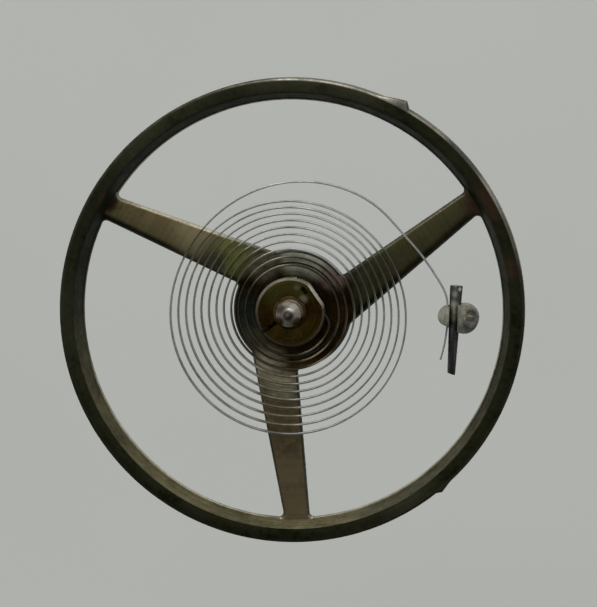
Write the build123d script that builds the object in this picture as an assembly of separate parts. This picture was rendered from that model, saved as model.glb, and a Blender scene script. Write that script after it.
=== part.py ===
from build123d import *
import os
from math import acos, atan2, cos, degrees, dist, radians, sin, sqrt

# Balance wheel of a watch with its staff, rollers and hairspring, in millimetres.
# The staff stands on +Z with the tip of its lower pivot at the origin, the hairspring
# lies above the wheel, and the stud holds the spring's outer end on the +X side.

# Wheel: a plain rim on three pinwheel arms
wheel_radius = 5.0
rim_height = 0.58
rim_top_width = 0.31
rim_slope_run = 0.17
rim_edge_break = 0.02
arm_count = 3
arm_angle = 34.7
arm_thickness = 0.15
arm_rim_width = 0.54
arm_root_inset = 0.23
arm_fillet = 0.1
hub_boss_radius = 1.03
hub_step = 0.25
hub_boss_height = 0.06
hub_boss_break = 0.025

# Staff, from the lower pivot up
pivot_radius = 0.05
pivot_length = 0.26
pivot_round = 0.02
cone_length = 0.14
cone_flare = 0.11
lower_arbor_length = 0.18
roller_seat_radius = 0.24
flange_lip = 0.12
flange_thickness = 0.13
wheel_seat_radius = 0.45
rivet_lip = 0.06
rivet_height = 0.04
collet_seat_radius = 0.36
collet_seat_spare = 0.06
upper_arbor_radius = 0.27
upper_arbor_length = 0.4

# Rollers, with the passing hollow and the jewel on one side of the staff
jewel_angle = 180.0
roller_thickness = 0.16
roller_wall = 0.09
roller_pipe_wall = 0.12
roller_pipe_length = 0.09
roller_edge_break = 0.02
safety_wall = 0.28
safety_height = 0.22
hollow_radius = 0.2
hollow_depth = 0.13
jewel_radius = 0.14
jewel_flat_offset = 0.05
jewel_clearance = 0.16
jewel_drop = 0.42
jewel_end_break = 0.015
shellac_margin = 0.02
shellac_height = 0.06
shellac_round = 0.04

# Collet: a split ring with a flat over the hole that takes the spring's inner end
collet_wall = 0.39
collet_height = 0.55
collet_lift = 0.05
collet_edge_break = 0.03
collet_flat_angle = 35.0
collet_flat_depth = 0.05
collet_flat_skin = 0.1
collet_slot_width = 0.09
collet_pin_radius = 0.05
collet_pin_taper = 0.008
collet_pin_proud = 0.07

# Hairspring: a flat ribbon that hangs a little low, away from the line of its turns
spring_thickness = 0.038
spring_height = 0.15
spring_level = 0.4
spring_turns = 10
spring_inner_gap = 0.18
spring_lead_gap = 0.829
spring_line_angle = 75.0
spring_sag = 0.2545
spring_lift = 0.1635
spring_elbow_radius = 0.3
spring_inner_tail = 0.07
lead_angle = 4.0
crook_angle = 11.0
crook_heading = 121.0
crook_share = 0.894
bend_angle = 28.0
bend_heading = 131.0
bend_share = 0.575
crown_angle = 60.0
crown_heading = 153.5
crown_share = 0.45
quarter_angle = 165.0
spring_tail_angle = 17.2

# Stud with its post, and the taper pin that wedges the spring in it
stud_angle = -1.6
stud_rim_gap = 0.49
stud_lobe_radius = 0.31
stud_nose_radius = 0.2
stud_nose_rise = 0.05
stud_nose_wall = 0.15
stud_outer_wall = 0.352
stud_height = 0.54
stud_slot_width = 0.18
stud_edge_break = 0.03
post_radius = 0.15
post_length = 0.55
post_edge_gap = 0.015
post_edge_break = 0.03
stud_pin_large_radius = 0.1375
stud_pin_small_radius = 0.084
stud_pin_length = 1.93
stud_pin_proud = 0.38
stud_pin_end_break = 0.02

# Fits
press_gap = 0.004
slip_gap = 0.01
overrun = 0.1

# Sizes that follow from the ones above
rim_inner_radius = wheel_radius - rim_top_width - rim_slope_run
hub_radius = hub_boss_radius + hub_step
collet_radius = collet_seat_radius + collet_wall
safety_radius = roller_seat_radius + safety_wall
jewel_place = safety_radius + jewel_clearance + jewel_radius
roller_radius = jewel_place + jewel_radius + roller_wall

safety_bottom = pivot_length + cone_length + lower_arbor_length
roller_bottom = safety_bottom + safety_height + roller_pipe_length
flange_bottom = roller_bottom + roller_thickness
wheel_bottom = flange_bottom + flange_thickness
boss_top = wheel_bottom + arm_thickness + hub_boss_height
rivet_top = boss_top + rivet_height
collet_bottom = rivet_top + collet_lift
collet_top = collet_bottom + collet_height
spring_middle = collet_bottom + spring_level
spring_bottom = spring_middle - spring_height / 2
stud_bottom = spring_middle - stud_height / 2
stud_top = spring_middle + stud_height / 2


def polar(angle, radius):
    return (radius * cos(radians(angle)), radius * sin(radians(angle)))


def shifted(point, angle, length):
    step = polar(angle, length)
    return (point[0] + step[0], point[1] + step[1])


def middle(a, b):
    return ((a[0] + b[0]) / 2, (a[1] + b[1]) / 2)


def turned(outline):
    return revolve(Plane.XZ * make_face(outline), Axis.Z)


def bore_round(pin_side, ribbon_side, half_height):
    # The circle that passes the far side of a pin and both corners of the ribbon beside it
    centre = (ribbon_side**2 + half_height**2 - pin_side**2) / (2 * (ribbon_side - pin_side))
    return centre, abs(centre - pin_side)


# The collet's hole lies across the ring. Its pin is on the staff's side of the ribbon.
collet_flat_place = collet_radius - collet_flat_depth
collet_ribbon_face = collet_flat_place - collet_flat_skin
collet_ribbon_line = collet_ribbon_face - spring_thickness / 2
collet_pin_line = collet_ribbon_face - spring_thickness - slip_gap - collet_pin_radius
collet_hole_line, collet_hole_radius = bore_round(
    collet_pin_line - collet_pin_radius - slip_gap,
    collet_ribbon_face + press_gap,
    spring_height / 2,
)
collet_hole_half = sqrt(collet_radius**2 - collet_ribbon_line**2)

# The stud's hole lies along the ribbon. Its pin is on the outer side of the ribbon.
stud_outer = rim_inner_radius - stud_rim_gap
stud_lobe_x = stud_outer - stud_lobe_radius
stud_hole_outer = stud_outer - stud_outer_wall
stud_pin_face = stud_hole_outer - slip_gap - 2 * stud_pin_large_radius
terminal_radius = stud_pin_face - slip_gap - spring_thickness / 2
ribbon_bow = stud_lobe_radius**2 / (2 * terminal_radius)
stud_hole_x, stud_hole_radius = bore_round(
    stud_hole_outer,
    terminal_radius - spring_thickness / 2 - ribbon_bow - press_gap,
    spring_height / 2,
)
stud_nose_x = stud_hole_x - stud_hole_radius - stud_nose_wall + stud_nose_radius

# The turns run from the innermost radius to the outermost, and sag more the further out
spring_inner_radius = collet_radius + spring_inner_gap
spring_outer_radius = terminal_radius - spring_lead_gap
spring_pitch = (spring_outer_radius - spring_inner_radius) / spring_turns


def crossing(half_turns):
    # Where the ribbon crosses the line of its turns, counted inwards from the outermost low side
    radius = spring_outer_radius - half_turns * spring_pitch / 2
    share = (radius - spring_inner_radius) / (spring_outer_radius - spring_inner_radius)
    sag = share * (spring_sag * share - spring_lift)
    if half_turns % 2:
        return polar(spring_line_angle, radius - sag)
    return polar(spring_line_angle + 180, radius + sag)


def joint_between(start, start_heading, end, end_heading):
    # The point where two arcs meet that lead smoothly from one heading to the other
    chord = (end[0] - start[0], end[1] - start[1])
    a = polar(start_heading, 1)
    b = polar(end_heading, 1)
    across = chord[0] * (a[0] + b[0]) + chord[1] * (a[1] + b[1])
    bend = 2 * (1 - a[0] * b[0] - a[1] * b[1])
    reach = (sqrt(across**2 + bend * (chord[0] ** 2 + chord[1] ** 2)) - across) / bend
    return middle(shifted(start, start_heading, reach), shifted(end, end_heading, -reach))


def spring_route():
    # Points from the outer tail inwards. Each pair is joined by an arc that leaves on the last
    # arc's heading, so the ribbon is smooth all the way.
    tail = polar(-spring_tail_angle, terminal_radius)
    lead = polar(lead_angle, terminal_radius)
    crook = polar(crook_angle, spring_outer_radius + crook_share * spring_lead_gap)
    bend = polar(bend_angle, spring_outer_radius + bend_share * spring_lead_gap)
    crown = polar(crown_angle, spring_outer_radius + crown_share * spring_lead_gap)
    outer_centre = middle(crossing(-1), crossing(0))
    quarter = shifted(outer_centre, quarter_angle, dist(outer_centre, crossing(0)))
    route = [
        tail,
        polar(0, terminal_radius),
        lead,
        joint_between(lead, lead_angle + 90, crook, crook_heading),
        crook,
        joint_between(crook, crook_heading, bend, bend_heading),
        bend,
        joint_between(bend, bend_heading, crown, crown_heading),
        crown,
        joint_between(crown, crown_heading, quarter, quarter_angle + 90),
        quarter,
    ]
    last = 2 * spring_turns
    route += [crossing(k) for k in range(last + 1)]

    # The innermost arc runs on to a tight elbow, and the ribbon goes straight into the collet
    inner_centre = middle(crossing(last), crossing(last + 1))
    inner_radius = dist(inner_centre, crossing(last))
    normal = polar(collet_flat_angle, 1)
    offset = inner_centre[0] * normal[0] + inner_centre[1] * normal[1]
    swing = degrees(
        acos(
            (collet_ribbon_line - spring_elbow_radius - offset)
            / (inner_radius - spring_elbow_radius)
        )
    )
    elbow_start_angle = collet_flat_angle - swing
    elbow_centre = shifted(inner_centre, elbow_start_angle, inner_radius - spring_elbow_radius)
    elbow_end = shifted(elbow_centre, collet_flat_angle, spring_elbow_radius)
    along = polar(collet_flat_angle + 90, 1)
    run = collet_hole_half + spring_inner_tail - elbow_end[0] * along[0] - elbow_end[1] * along[1]
    route += [
        shifted(inner_centre, elbow_start_angle, inner_radius),
        elbow_end,
        shifted(elbow_end, collet_flat_angle + 90, run),
    ]
    return route, 90 - spring_tail_angle


def smooth_line(route, heading, offset):
    # Arcs at one distance to the left of the route
    edges = []
    for start, end in zip(route, route[1:]):
        chord_heading = degrees(atan2(end[1] - start[1], end[0] - start[0]))
        half = (chord_heading - heading + 180) % 360 - 180
        length = dist(start, end)
        bulge = length / 2 * sin(radians(half) / 2) / cos(radians(half) / 2)
        top = shifted(middle(start, end), chord_heading - 90, bulge)
        a = shifted(start, heading + 90, offset)
        b = shifted(end, chord_heading + half + 90, offset)
        if abs(bulge) < press_gap * length:
            edges.append(Line(a, b))
        else:
            edges.append(ThreePointArc(a, shifted(top, chord_heading + 90, offset), b))
        heading = chord_heading + half
    return edges


def least_gap(edges, steps=24):
    # Nearest approach of the ribbon to itself, between points over a quarter turn apart
    points = [tuple(edge @ (i / steps))[:2] for edge in edges for i in range(steps)]
    apart = 2 * steps
    nearest = min(
        dist(a, b) for i, a in enumerate(points) for b in points[i + apart :]
    )
    return nearest - spring_thickness


def balance_wheel():
    top = wheel_bottom + rim_height
    rim = turned(
        Polyline(
            (rim_inner_radius, wheel_bottom),
            (wheel_radius - rim_edge_break, wheel_bottom),
            (wheel_radius, wheel_bottom + rim_edge_break),
            (wheel_radius, top - rim_edge_break),
            (wheel_radius - rim_edge_break, top),
            (wheel_radius - rim_top_width + rim_edge_break, top),
            (wheel_radius - rim_top_width - rim_edge_break / 2, top - rim_edge_break),
            close=True,
        )
    )
    # One long side of each arm points at the staff, the other stands off from it at the hub
    arm_reach = rim_inner_radius + rim_slope_run / 2
    arm = make_face(
        Polyline(
            (0, 0),
            (arm_reach, 0),
            (arm_reach, -arm_rim_width),
            (0, arm_root_inset - hub_radius),
            close=True,
        )
    )
    windows = Circle(rim_inner_radius) - Circle(hub_radius)
    for i in range(arm_count):
        windows -= Rot(0, 0, arm_angle + i * 360 / arm_count) * arm
    windows = fillet(windows.vertices(), arm_fillet)
    plate = extrude(Circle(arm_reach) - windows, arm_thickness)
    boss = extrude(Circle(hub_boss_radius), arm_thickness + hub_boss_height)
    boss = chamfer(boss.edges().group_by(Axis.Z)[-1], hub_boss_break)
    wheel = rim + Pos(0, 0, wheel_bottom) * (plate + boss)
    return wheel - Cylinder(
        wheel_seat_radius + press_gap,
        boss_top + overrun,
        align=(Align.CENTER, Align.CENTER, Align.MIN),
    )


def balance_staff():
    cone_radius = pivot_radius + cone_flare
    seat_top = collet_top + collet_seat_spare
    arbor_top = seat_top + upper_arbor_length
    upper_pivot = arbor_top + cone_length
    tip = upper_pivot + pivot_length
    outline = (
        Polyline(
            (pivot_radius, pivot_length),
            (pivot_radius, pivot_round),
            (pivot_radius - pivot_round, 0),
            (0, 0),
            (0, tip),
            (pivot_radius - pivot_round, tip),
            (pivot_radius, tip - pivot_round),
            (pivot_radius, upper_pivot),
        )
        + TangentArc((pivot_radius, upper_pivot), (cone_radius, arbor_top), tangent=(0, -1))
        + Polyline(
            (cone_radius, arbor_top),
            (upper_arbor_radius, arbor_top),
            (upper_arbor_radius, seat_top),
            (collet_seat_radius, seat_top),
            (collet_seat_radius, rivet_top),
            (wheel_seat_radius, rivet_top),
            (wheel_seat_radius + rivet_lip, boss_top),
            (wheel_seat_radius, boss_top),
            (wheel_seat_radius, wheel_bottom),
            (wheel_seat_radius + flange_lip, wheel_bottom),
            (wheel_seat_radius + flange_lip, flange_bottom),
            (roller_seat_radius, flange_bottom),
            (roller_seat_radius, pivot_length + cone_length),
            (cone_radius, pivot_length + cone_length),
        )
        + TangentArc(
            (pivot_radius, pivot_length),
            (cone_radius, pivot_length + cone_length),
            tangent=(0, 1),
        )
    )
    return turned(outline)


def jewel_section(grow):
    # A round with its outward third cut to a flat
    radius = jewel_radius + grow
    section = Circle(radius) - Pos(jewel_flat_offset + grow + radius, 0) * Rectangle(
        2 * radius, 2 * radius
    )
    return Rot(0, 0, jewel_angle) * Pos(jewel_place, 0) * section


def impulse_roller():
    bore = roller_seat_radius + press_gap
    pipe = roller_seat_radius + roller_pipe_wall
    pipe_bottom = roller_bottom - roller_pipe_length
    disc = turned(
        Polyline(
            (bore, pipe_bottom),
            (pipe, pipe_bottom),
            (pipe, roller_bottom),
            (roller_radius - roller_edge_break, roller_bottom),
            (roller_radius, roller_bottom + roller_edge_break),
            (roller_radius, flange_bottom - roller_edge_break),
            (roller_radius - roller_edge_break, flange_bottom),
            (bore, flange_bottom),
            close=True,
        )
    )
    hole = extrude(jewel_section(press_gap), roller_thickness + 2 * overrun)
    return disc - Pos(0, 0, roller_bottom - overrun) * hole


def safety_roller():
    disc = Circle(safety_radius) - Circle(roller_seat_radius + press_gap)
    hollow_place = safety_radius - hollow_depth + hollow_radius
    disc -= Rot(0, 0, jewel_angle) * Pos(hollow_place, 0) * Circle(hollow_radius)
    return Pos(0, 0, safety_bottom) * extrude(disc, safety_height)


def impulse_jewel():
    length = roller_thickness + jewel_drop
    jewel = extrude(jewel_section(0), length)
    jewel = chamfer(jewel.edges().group_by(Axis.Z)[0], jewel_end_break)
    return Pos(0, 0, flange_bottom - length) * jewel


def jewel_shellac():
    bead = extrude(Circle(jewel_radius + shellac_margin), shellac_height)
    bead = fillet(bead.edges().group_by(Axis.Z)[-1], shellac_round)
    return Rot(0, 0, jewel_angle) * Pos(jewel_place, 0, flange_bottom) * bead


def collet():
    bore = collet_seat_radius + press_gap
    ring = turned(
        Polyline(
            (bore, collet_bottom),
            (collet_radius - collet_edge_break, collet_bottom),
            (collet_radius, collet_bottom + collet_edge_break),
            (collet_radius, collet_top - collet_edge_break),
            (collet_radius - collet_edge_break, collet_top),
            (bore + collet_edge_break, collet_top),
            (bore, collet_top - collet_edge_break),
            close=True,
        )
    )
    # Worked on with +X across the flat, then turned to its place
    flat = Pos(collet_flat_place + collet_radius, 0, 0) * Box(
        2 * collet_radius, 2 * collet_radius, 2 * (collet_top + overrun)
    )
    slot = Pos(-collet_radius / 2 - overrun, 0, 0) * Box(
        collet_radius + 2 * overrun, collet_slot_width, 2 * (collet_top + overrun)
    )
    hole = Pos(collet_hole_line, 0, spring_middle) * Rot(90, 0, 0) * Cylinder(
        collet_hole_radius, 2 * (collet_radius + overrun)
    )
    return ring - Rot(0, 0, collet_flat_angle) * (flat + slot + hole)


def taper_pin(large_radius, small_radius, length, end_break):
    # Lies along -Y from the origin, with the side towards -X straight
    lean = degrees(atan2(large_radius - small_radius, length))
    pin = Cone(
        large_radius,
        small_radius,
        length,
        align=(Align.CENTER, Align.CENTER, Align.MIN),
    )
    pin = chamfer(pin.edges().filter_by(GeomType.CIRCLE), end_break)
    return Rot(0, 0, -lean) * Rot(90, 0, 0) * pin


def collet_pin():
    small = collet_pin_radius - collet_pin_taper
    length = 2 * (collet_hole_half + collet_pin_proud)
    pin = taper_pin(collet_pin_radius, small, length, collet_pin_taper)
    place = Pos(collet_pin_line, length / 2, spring_middle)
    return Rot(0, 0, collet_flat_angle) * place * pin


def hairspring():
    route, heading = spring_route()
    left = smooth_line(route, heading, spring_thickness / 2)
    right = smooth_line(route, heading, -spring_thickness / 2)
    caps = [Line(left[0] @ 0, right[0] @ 0), Line(left[-1] @ 1, right[-1] @ 1)]
    ribbon = make_face(left + right + caps)
    gap = least_gap(smooth_line(route, heading, 0))
    print(f"hairspring: pitch {spring_pitch:.3f} mm, least gap to itself {gap:.3f} mm")
    return Pos(0, 0, spring_bottom) * extrude(ribbon, spring_height)


def stud():
    # Worked on with the ribbon's hole across +X, then turned to its place, as its pin is
    lobe = Pos(stud_lobe_x, 0) * Circle(stud_lobe_radius)
    nose = Pos(stud_nose_x, stud_nose_rise) * Circle(stud_nose_radius)
    block = extrude(make_hull([*lobe.edges(), *nose.edges()]), stud_height)
    block = chamfer(block.edges().group_by(Axis.Z)[-1], stud_edge_break)
    block = Pos(0, 0, stud_bottom) * block
    hole = Pos(stud_hole_x, 0, spring_middle) * Rot(90, 0, 0) * Cylinder(
        stud_hole_radius, 2 * (stud_lobe_radius + overrun)
    )
    slot = Pos(stud_hole_x, 0, stud_top) * Box(
        stud_slot_width, 2 * (stud_lobe_radius + overrun), stud_height
    )
    post_x = stud_outer - post_edge_gap - post_radius
    post = extrude(Circle(post_radius), stud_top + post_length - spring_middle)
    post = chamfer(post.edges().group_by(Axis.Z)[-1], post_edge_break)
    post = Pos(post_x, 0, spring_middle) * post
    return Rot(0, 0, stud_angle) * (block + post - hole - slot)


def stud_pin():
    pin = taper_pin(
        stud_pin_large_radius, stud_pin_small_radius, stud_pin_length, stud_pin_end_break
    )
    place = Pos(
        stud_pin_face + stud_pin_large_radius,
        stud_lobe_radius + stud_pin_proud,
        spring_middle,
    )
    return Rot(0, 0, stud_angle) * place * pin


pieces = {
    "balance_wheel": balance_wheel,
    "balance_staff": balance_staff,
    "impulse_roller": impulse_roller,
    "safety_roller": safety_roller,
    "impulse_jewel": impulse_jewel,
    "jewel_shellac": jewel_shellac,
    "collet": collet,
    "collet_pin": collet_pin,
    "hairspring": hairspring,
    "stud": stud,
    "stud_pin": stud_pin,
}
os.makedirs("parts", exist_ok=True)
for name, build_piece in pieces.items():
    export_step(build_piece(), f"parts/{name}.step")
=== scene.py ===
from math import acos, asin, atan2, ceil, cos, degrees, dist, hypot, pi, radians, sin, sqrt
import bmesh
import bpy
from mathutils import Matrix, Vector
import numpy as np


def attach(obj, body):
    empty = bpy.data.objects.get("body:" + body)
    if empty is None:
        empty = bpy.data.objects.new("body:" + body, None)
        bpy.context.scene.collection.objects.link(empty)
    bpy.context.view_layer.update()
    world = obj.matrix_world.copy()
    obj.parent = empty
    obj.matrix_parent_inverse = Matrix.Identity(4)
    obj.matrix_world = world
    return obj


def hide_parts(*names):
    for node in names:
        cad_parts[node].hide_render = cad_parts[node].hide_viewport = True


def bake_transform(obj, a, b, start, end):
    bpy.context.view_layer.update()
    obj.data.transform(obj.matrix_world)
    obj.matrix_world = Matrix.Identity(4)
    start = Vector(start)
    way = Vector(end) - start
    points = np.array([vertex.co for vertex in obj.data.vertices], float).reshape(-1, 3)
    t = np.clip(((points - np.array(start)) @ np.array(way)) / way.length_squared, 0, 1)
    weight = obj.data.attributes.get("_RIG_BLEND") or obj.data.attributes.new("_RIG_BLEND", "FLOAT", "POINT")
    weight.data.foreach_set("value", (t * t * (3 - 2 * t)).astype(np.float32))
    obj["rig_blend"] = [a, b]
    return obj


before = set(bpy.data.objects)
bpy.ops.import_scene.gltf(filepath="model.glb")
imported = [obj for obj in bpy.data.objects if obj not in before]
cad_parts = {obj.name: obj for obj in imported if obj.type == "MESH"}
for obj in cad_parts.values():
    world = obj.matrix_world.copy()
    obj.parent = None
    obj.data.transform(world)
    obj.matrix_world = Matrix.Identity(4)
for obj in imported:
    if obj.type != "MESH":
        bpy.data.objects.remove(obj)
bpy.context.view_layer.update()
mm = 0.001
scene = bpy.context.scene
scene.view_settings.view_transform = "Standard"
print("frame loaded")

# Camera, above the hairspring side and a little to the upper right, in photo pixels and mm
view = {
    "wide": 597, "high": 607, "target": (0, 0, 1.76), "tilt": 7.0, "turn": 50.0, "away": 90.0,
    "pxPerMm": 46.66, "targetX": 291.0, "targetY": 311.5, "sensor": 36.0, "clipNear": 2.0, "clipFar": 2000.0,
}


def makeCamera(v):
    tilt, turn = radians(v["tilt"]), radians(v["turn"])
    back = Vector((sin(tilt) * cos(turn), sin(tilt) * sin(turn), cos(tilt)))
    right = Vector((0, 1, 0)).cross(back).normalized()
    up = back.cross(right)
    data = bpy.data.cameras.new("camera")
    cam = bpy.data.objects.new("camera", data)
    scene.collection.objects.link(cam)
    spot = (Vector(v["target"]) + back * v["away"]) * mm
    cam.matrix_world = Matrix.Translation(spot) @ Matrix((right, up, back)).transposed().to_4x4()
    data.sensor_width = v["sensor"]
    data.lens = v["pxPerMm"] * v["away"] / v["high"] * v["sensor"]
    data.shift_x = (v["wide"] / 2 - v["targetX"]) / v["high"]
    data.shift_y = (v["targetY"] - v["high"] / 2) / v["high"]
    data.clip_start, data.clip_end = v["clipNear"] * mm, v["clipFar"] * mm
    scene.camera = cam


makeCamera(view)


# Shader helpers. A number, colour or place is set on its socket, another node's output is linked to it.
def feed(links, socket, value):
    if isinstance(value, (int, float)):
        socket.default_value = value
    elif isinstance(value, tuple):
        socket.default_value = value if len(value) == len(socket.default_value) else (*value, 1)
    else:
        links.new(value, socket)


def newMaterial(name):
    mat = bpy.data.materials.new(name)
    mat.use_nodes = True
    return mat, mat.node_tree.nodes, mat.node_tree.links, mat.node_tree.nodes["Principled BSDF"]


def objectPlace(nodes):
    return nodes.new("ShaderNodeTexCoord").outputs["Object"]


def mathNode(nodes, links, operation, *values):
    node = nodes.new("ShaderNodeMath")
    node.operation = operation
    for socket, value in zip(node.inputs, values):
        feed(links, socket, value)
    return node.outputs[0]


def vectorNode(nodes, links, operation, *values):
    node = nodes.new("ShaderNodeVectorMath")
    node.operation = operation
    for socket, value in zip(node.inputs, values):
        feed(links, socket, value)
    return node.outputs["Value" if operation in ("DISTANCE", "DOT_PRODUCT") else "Vector"]


def scaled(nodes, links, colour, factor):
    node = nodes.new("ShaderNodeVectorMath")
    node.operation = "SCALE"
    feed(links, node.inputs[0], colour)
    feed(links, node.inputs["Scale"], factor)
    return node.outputs[0]


def mixColour(nodes, links, factor, a, b):
    node = nodes.new("ShaderNodeMix")
    node.data_type = "RGBA"
    for label, value in (("Factor", factor), ("A", a), ("B", b)):
        feed(links, node.inputs[label], value)
    return node.outputs["Result"]


def noiseAt(nodes, links, vector, scale, detail, roughness=0.6):
    node = nodes.new("ShaderNodeTexNoise")
    for label, value in (("Vector", vector), ("Scale", scale), ("Detail", detail), ("Roughness", roughness)):
        feed(links, node.inputs[label], value)
    return node.outputs["Fac"]


def rangeOf(nodes, links, value, low, high, newLow=0.0, newHigh=1.0, kind="SMOOTHSTEP"):
    node = nodes.new("ShaderNodeMapRange")
    node.interpolation_type = kind
    ends = (("Value", value), ("From Min", low), ("From Max", high), ("To Min", newLow), ("To Max", newHigh))
    for label, number in ends:
        feed(links, node.inputs[label], number)
    return node.outputs["Result"]


# Light and floor: a plain pale table under soft light from the top of the picture
studio = {
    "world": (0.25, 0.255, 0.25), "worldDark": (0.035, 0.035, 0.032), "darkFrom": 0.3, "darkFull": 0.85,
    "floorColour": (0.46, 0.47, 0.447), "floorUneven": 0.03, "floorRough": 0.9,
    "floorCloud": (120.0, 3.0, 0.5), "floorSize": 600.0, "floorDrop": 18.0,
    "keyPlace": (-140, 640, 440), "keySize": 640.0, "keyPower": 8.3,
    "rimPlace": (210, 150, 120), "rimSize": 120.0, "rimPower": 0.12,
}


def areaLamp(name, spot, size, power):
    data = bpy.data.lights.new(name, "AREA")
    data.shape, data.size, data.energy = "DISK", size * mm, power
    lamp = bpy.data.objects.new(name, data)
    scene.collection.objects.link(lamp)
    lamp.location = Vector(spot) * mm
    lamp.rotation_euler = (Vector(spot)).to_track_quat("Z", "Y").to_euler()


def makeStudio(s):
    world = bpy.data.worlds.new("world")
    world.use_nodes = True
    nodes, links = world.node_tree.nodes, world.node_tree.links
    # The room is dark towards the bottom of the picture
    facing = nodes.new("ShaderNodeSeparateXYZ")
    links.new(nodes.new("ShaderNodeTexCoord").outputs["Generated"], facing.inputs[0])
    shade = rangeOf(nodes, links, facing.outputs["Y"], -s["darkFrom"], -s["darkFull"], kind="LINEAR")
    links.new(mixColour(nodes, links, shade, s["world"], s["worldDark"]), nodes["Background"].inputs["Color"])
    scene.world = world
    areaLamp("keyLamp", s["keyPlace"], s["keySize"], s["keyPower"])
    areaLamp("rimLamp", s["rimPlace"], s["rimSize"], s["rimPower"])
    bm = bmesh.new()
    bmesh.ops.create_grid(bm, x_segments=1, y_segments=1, size=s["floorSize"] / 2 * mm)
    bmesh.ops.translate(bm, vec=(0, 0, -s["floorDrop"] * mm), verts=bm.verts)
    mesh = bpy.data.meshes.new("floor")
    bm.to_mesh(mesh)
    bm.free()
    floor = bpy.data.objects.new("floor", mesh)
    scene.collection.objects.link(floor)
    mat, nodes, links, shader = newMaterial("paleTable")
    shader.inputs["Roughness"].default_value = s["floorRough"]
    cloud = noiseAt(nodes, links, objectPlace(nodes), *s["floorCloud"])
    dark, light = (tuple(c * (1 + way * s["floorUneven"]) for c in s["floorColour"]) for way in (-1, 1))
    links.new(mixColour(nodes, links, cloud, dark, light), shader.inputs["Base Color"])
    mesh.materials.append(mat)


makeStudio(studio)
print("camera, lamps and floor")

# Shader groups shared by the metals. All read Object coordinates, in metres.
# A noise is given by its detail and roughness, strips keep to a direction between two cosines.
grain = {
    "broad": (5.0, 0.65), "fine": (3.0, 0.6), "fineTimes": 7.3, "fineShare": 0.35, "contrast": 3.0,
    "swirl": 0.6, "turnedDetail": 2.0, "drawnDetail": 3.0,
    "lineFrom": 0.35, "lineTo": 0.65, "quiet": 0.3, "stripFrom": 0.7, "stripFull": 0.8,
}


def startGroup(name, inputs, outputs):
    group = bpy.data.node_groups.new(name, "ShaderNodeTree")
    for label, kind, value in inputs:
        socket = group.interface.new_socket(label, in_out="INPUT", socket_type=kind)
        socket.default_value = value
    for label, kind in outputs:
        group.interface.new_socket(label, in_out="OUTPUT", socket_type=kind)
    nodes = group.nodes
    return group, nodes, group.links, nodes.new("NodeGroupInput").outputs, nodes.new("NodeGroupOutput").inputs


def makePatinaGroup(g):
    # Cloudy tarnish in two sizes, between a dark and a light tone
    group, nodes, links, given, out = startGroup(
        "tarnish",
        [("Dark", "NodeSocketColor", (0, 0, 0, 1)), ("Light", "NodeSocketColor", (1, 1, 1, 1)),
         ("Scale", "NodeSocketFloat", 900.0), ("Contrast", "NodeSocketFloat", 1.0)],
        [("Color", "NodeSocketColor"), ("Mask", "NodeSocketFloat")],
    )
    spot = objectPlace(nodes)
    broad = noiseAt(nodes, links, spot, given["Scale"], *g["broad"])
    fineScale = mathNode(nodes, links, "MULTIPLY", given["Scale"], g["fineTimes"])
    fine = noiseAt(nodes, links, spot, fineScale, *g["fine"])
    broadPart = mathNode(nodes, links, "MULTIPLY", broad, 1 - g["fineShare"])
    both = mathNode(nodes, links, "MULTIPLY_ADD", fine, g["fineShare"], broadPart)
    centred = mathNode(nodes, links, "SUBTRACT", both, 0.5)
    contrast = mathNode(nodes, links, "MULTIPLY", given["Contrast"], g["contrast"])
    spread = mathNode(nodes, links, "MULTIPLY", centred, contrast)
    mask = mathNode(nodes, links, "ADD", spread, 0.5)
    mask.node.use_clamp = True
    links.new(mask, out["Mask"])
    links.new(mixColour(nodes, links, mask, given["Dark"], given["Light"]), out["Color"])
    return group


def makeTurnedGroup(g):
    # Fine concentric tool lines about the staff, their count given per metre
    group, nodes, links, given, out = startGroup(
        "turnedLines", [("Count", "NodeSocketFloat", 30000.0)], [("Lines", "NodeSocketFloat")])
    split, spun = nodes.new("ShaderNodeSeparateXYZ"), nodes.new("ShaderNodeCombineXYZ")
    links.new(objectPlace(nodes), split.inputs[0])
    x, y, z = split.outputs
    squares = mathNode(nodes, links, "MULTIPLY_ADD", x, x, mathNode(nodes, links, "MULTIPLY", y, y))
    radius = mathNode(nodes, links, "SQRT", squares)
    swirl = mathNode(nodes, links, "MULTIPLY", mathNode(nodes, links, "ARCTAN2", y, x), g["swirl"])
    links.new(mathNode(nodes, links, "MULTIPLY", radius, given["Count"]), spun.inputs[0])
    links.new(mathNode(nodes, links, "MULTIPLY", z, given["Count"]), spun.inputs[1])
    links.new(mathNode(nodes, links, "ABSOLUTE", swirl), spun.inputs[2])
    links.new(noiseAt(nodes, links, spun.outputs[0], 1.0, g["turnedDetail"]), out["Lines"])
    return group


def makeDrawnGroup(g):
    # Fine lines along X, Y or Z, for drawn and filed metal
    group, nodes, links, given, out = startGroup(
        "drawnLines", [("Stretch", "NodeSocketVector", (40000.0, 2500.0, 40000.0))],
        [("Lines", "NodeSocketFloat")])
    drawn = vectorNode(nodes, links, "MULTIPLY", objectPlace(nodes), given["Stretch"])
    links.new(noiseAt(nodes, links, drawn, 1.0, g["drawnDetail"]), out["Lines"])
    return group


tarnish, turnedLines, drawnLines = makePatinaGroup(grain), makeTurnedGroup(grain), makeDrawnGroup(grain)


def useGroup(nodes, group, **values):
    node = nodes.new("ShaderNodeGroup")
    node.node_tree = group
    for label, value in values.items():
        node.inputs[label].default_value = value
    return node.outputs


def addTarnish(nodes, tone, scale, contrast):
    dark, light = tone
    return useGroup(nodes, tarnish, Dark=(*dark, 1), Light=(*light, 1), Scale=scale, Contrast=contrast)


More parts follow.
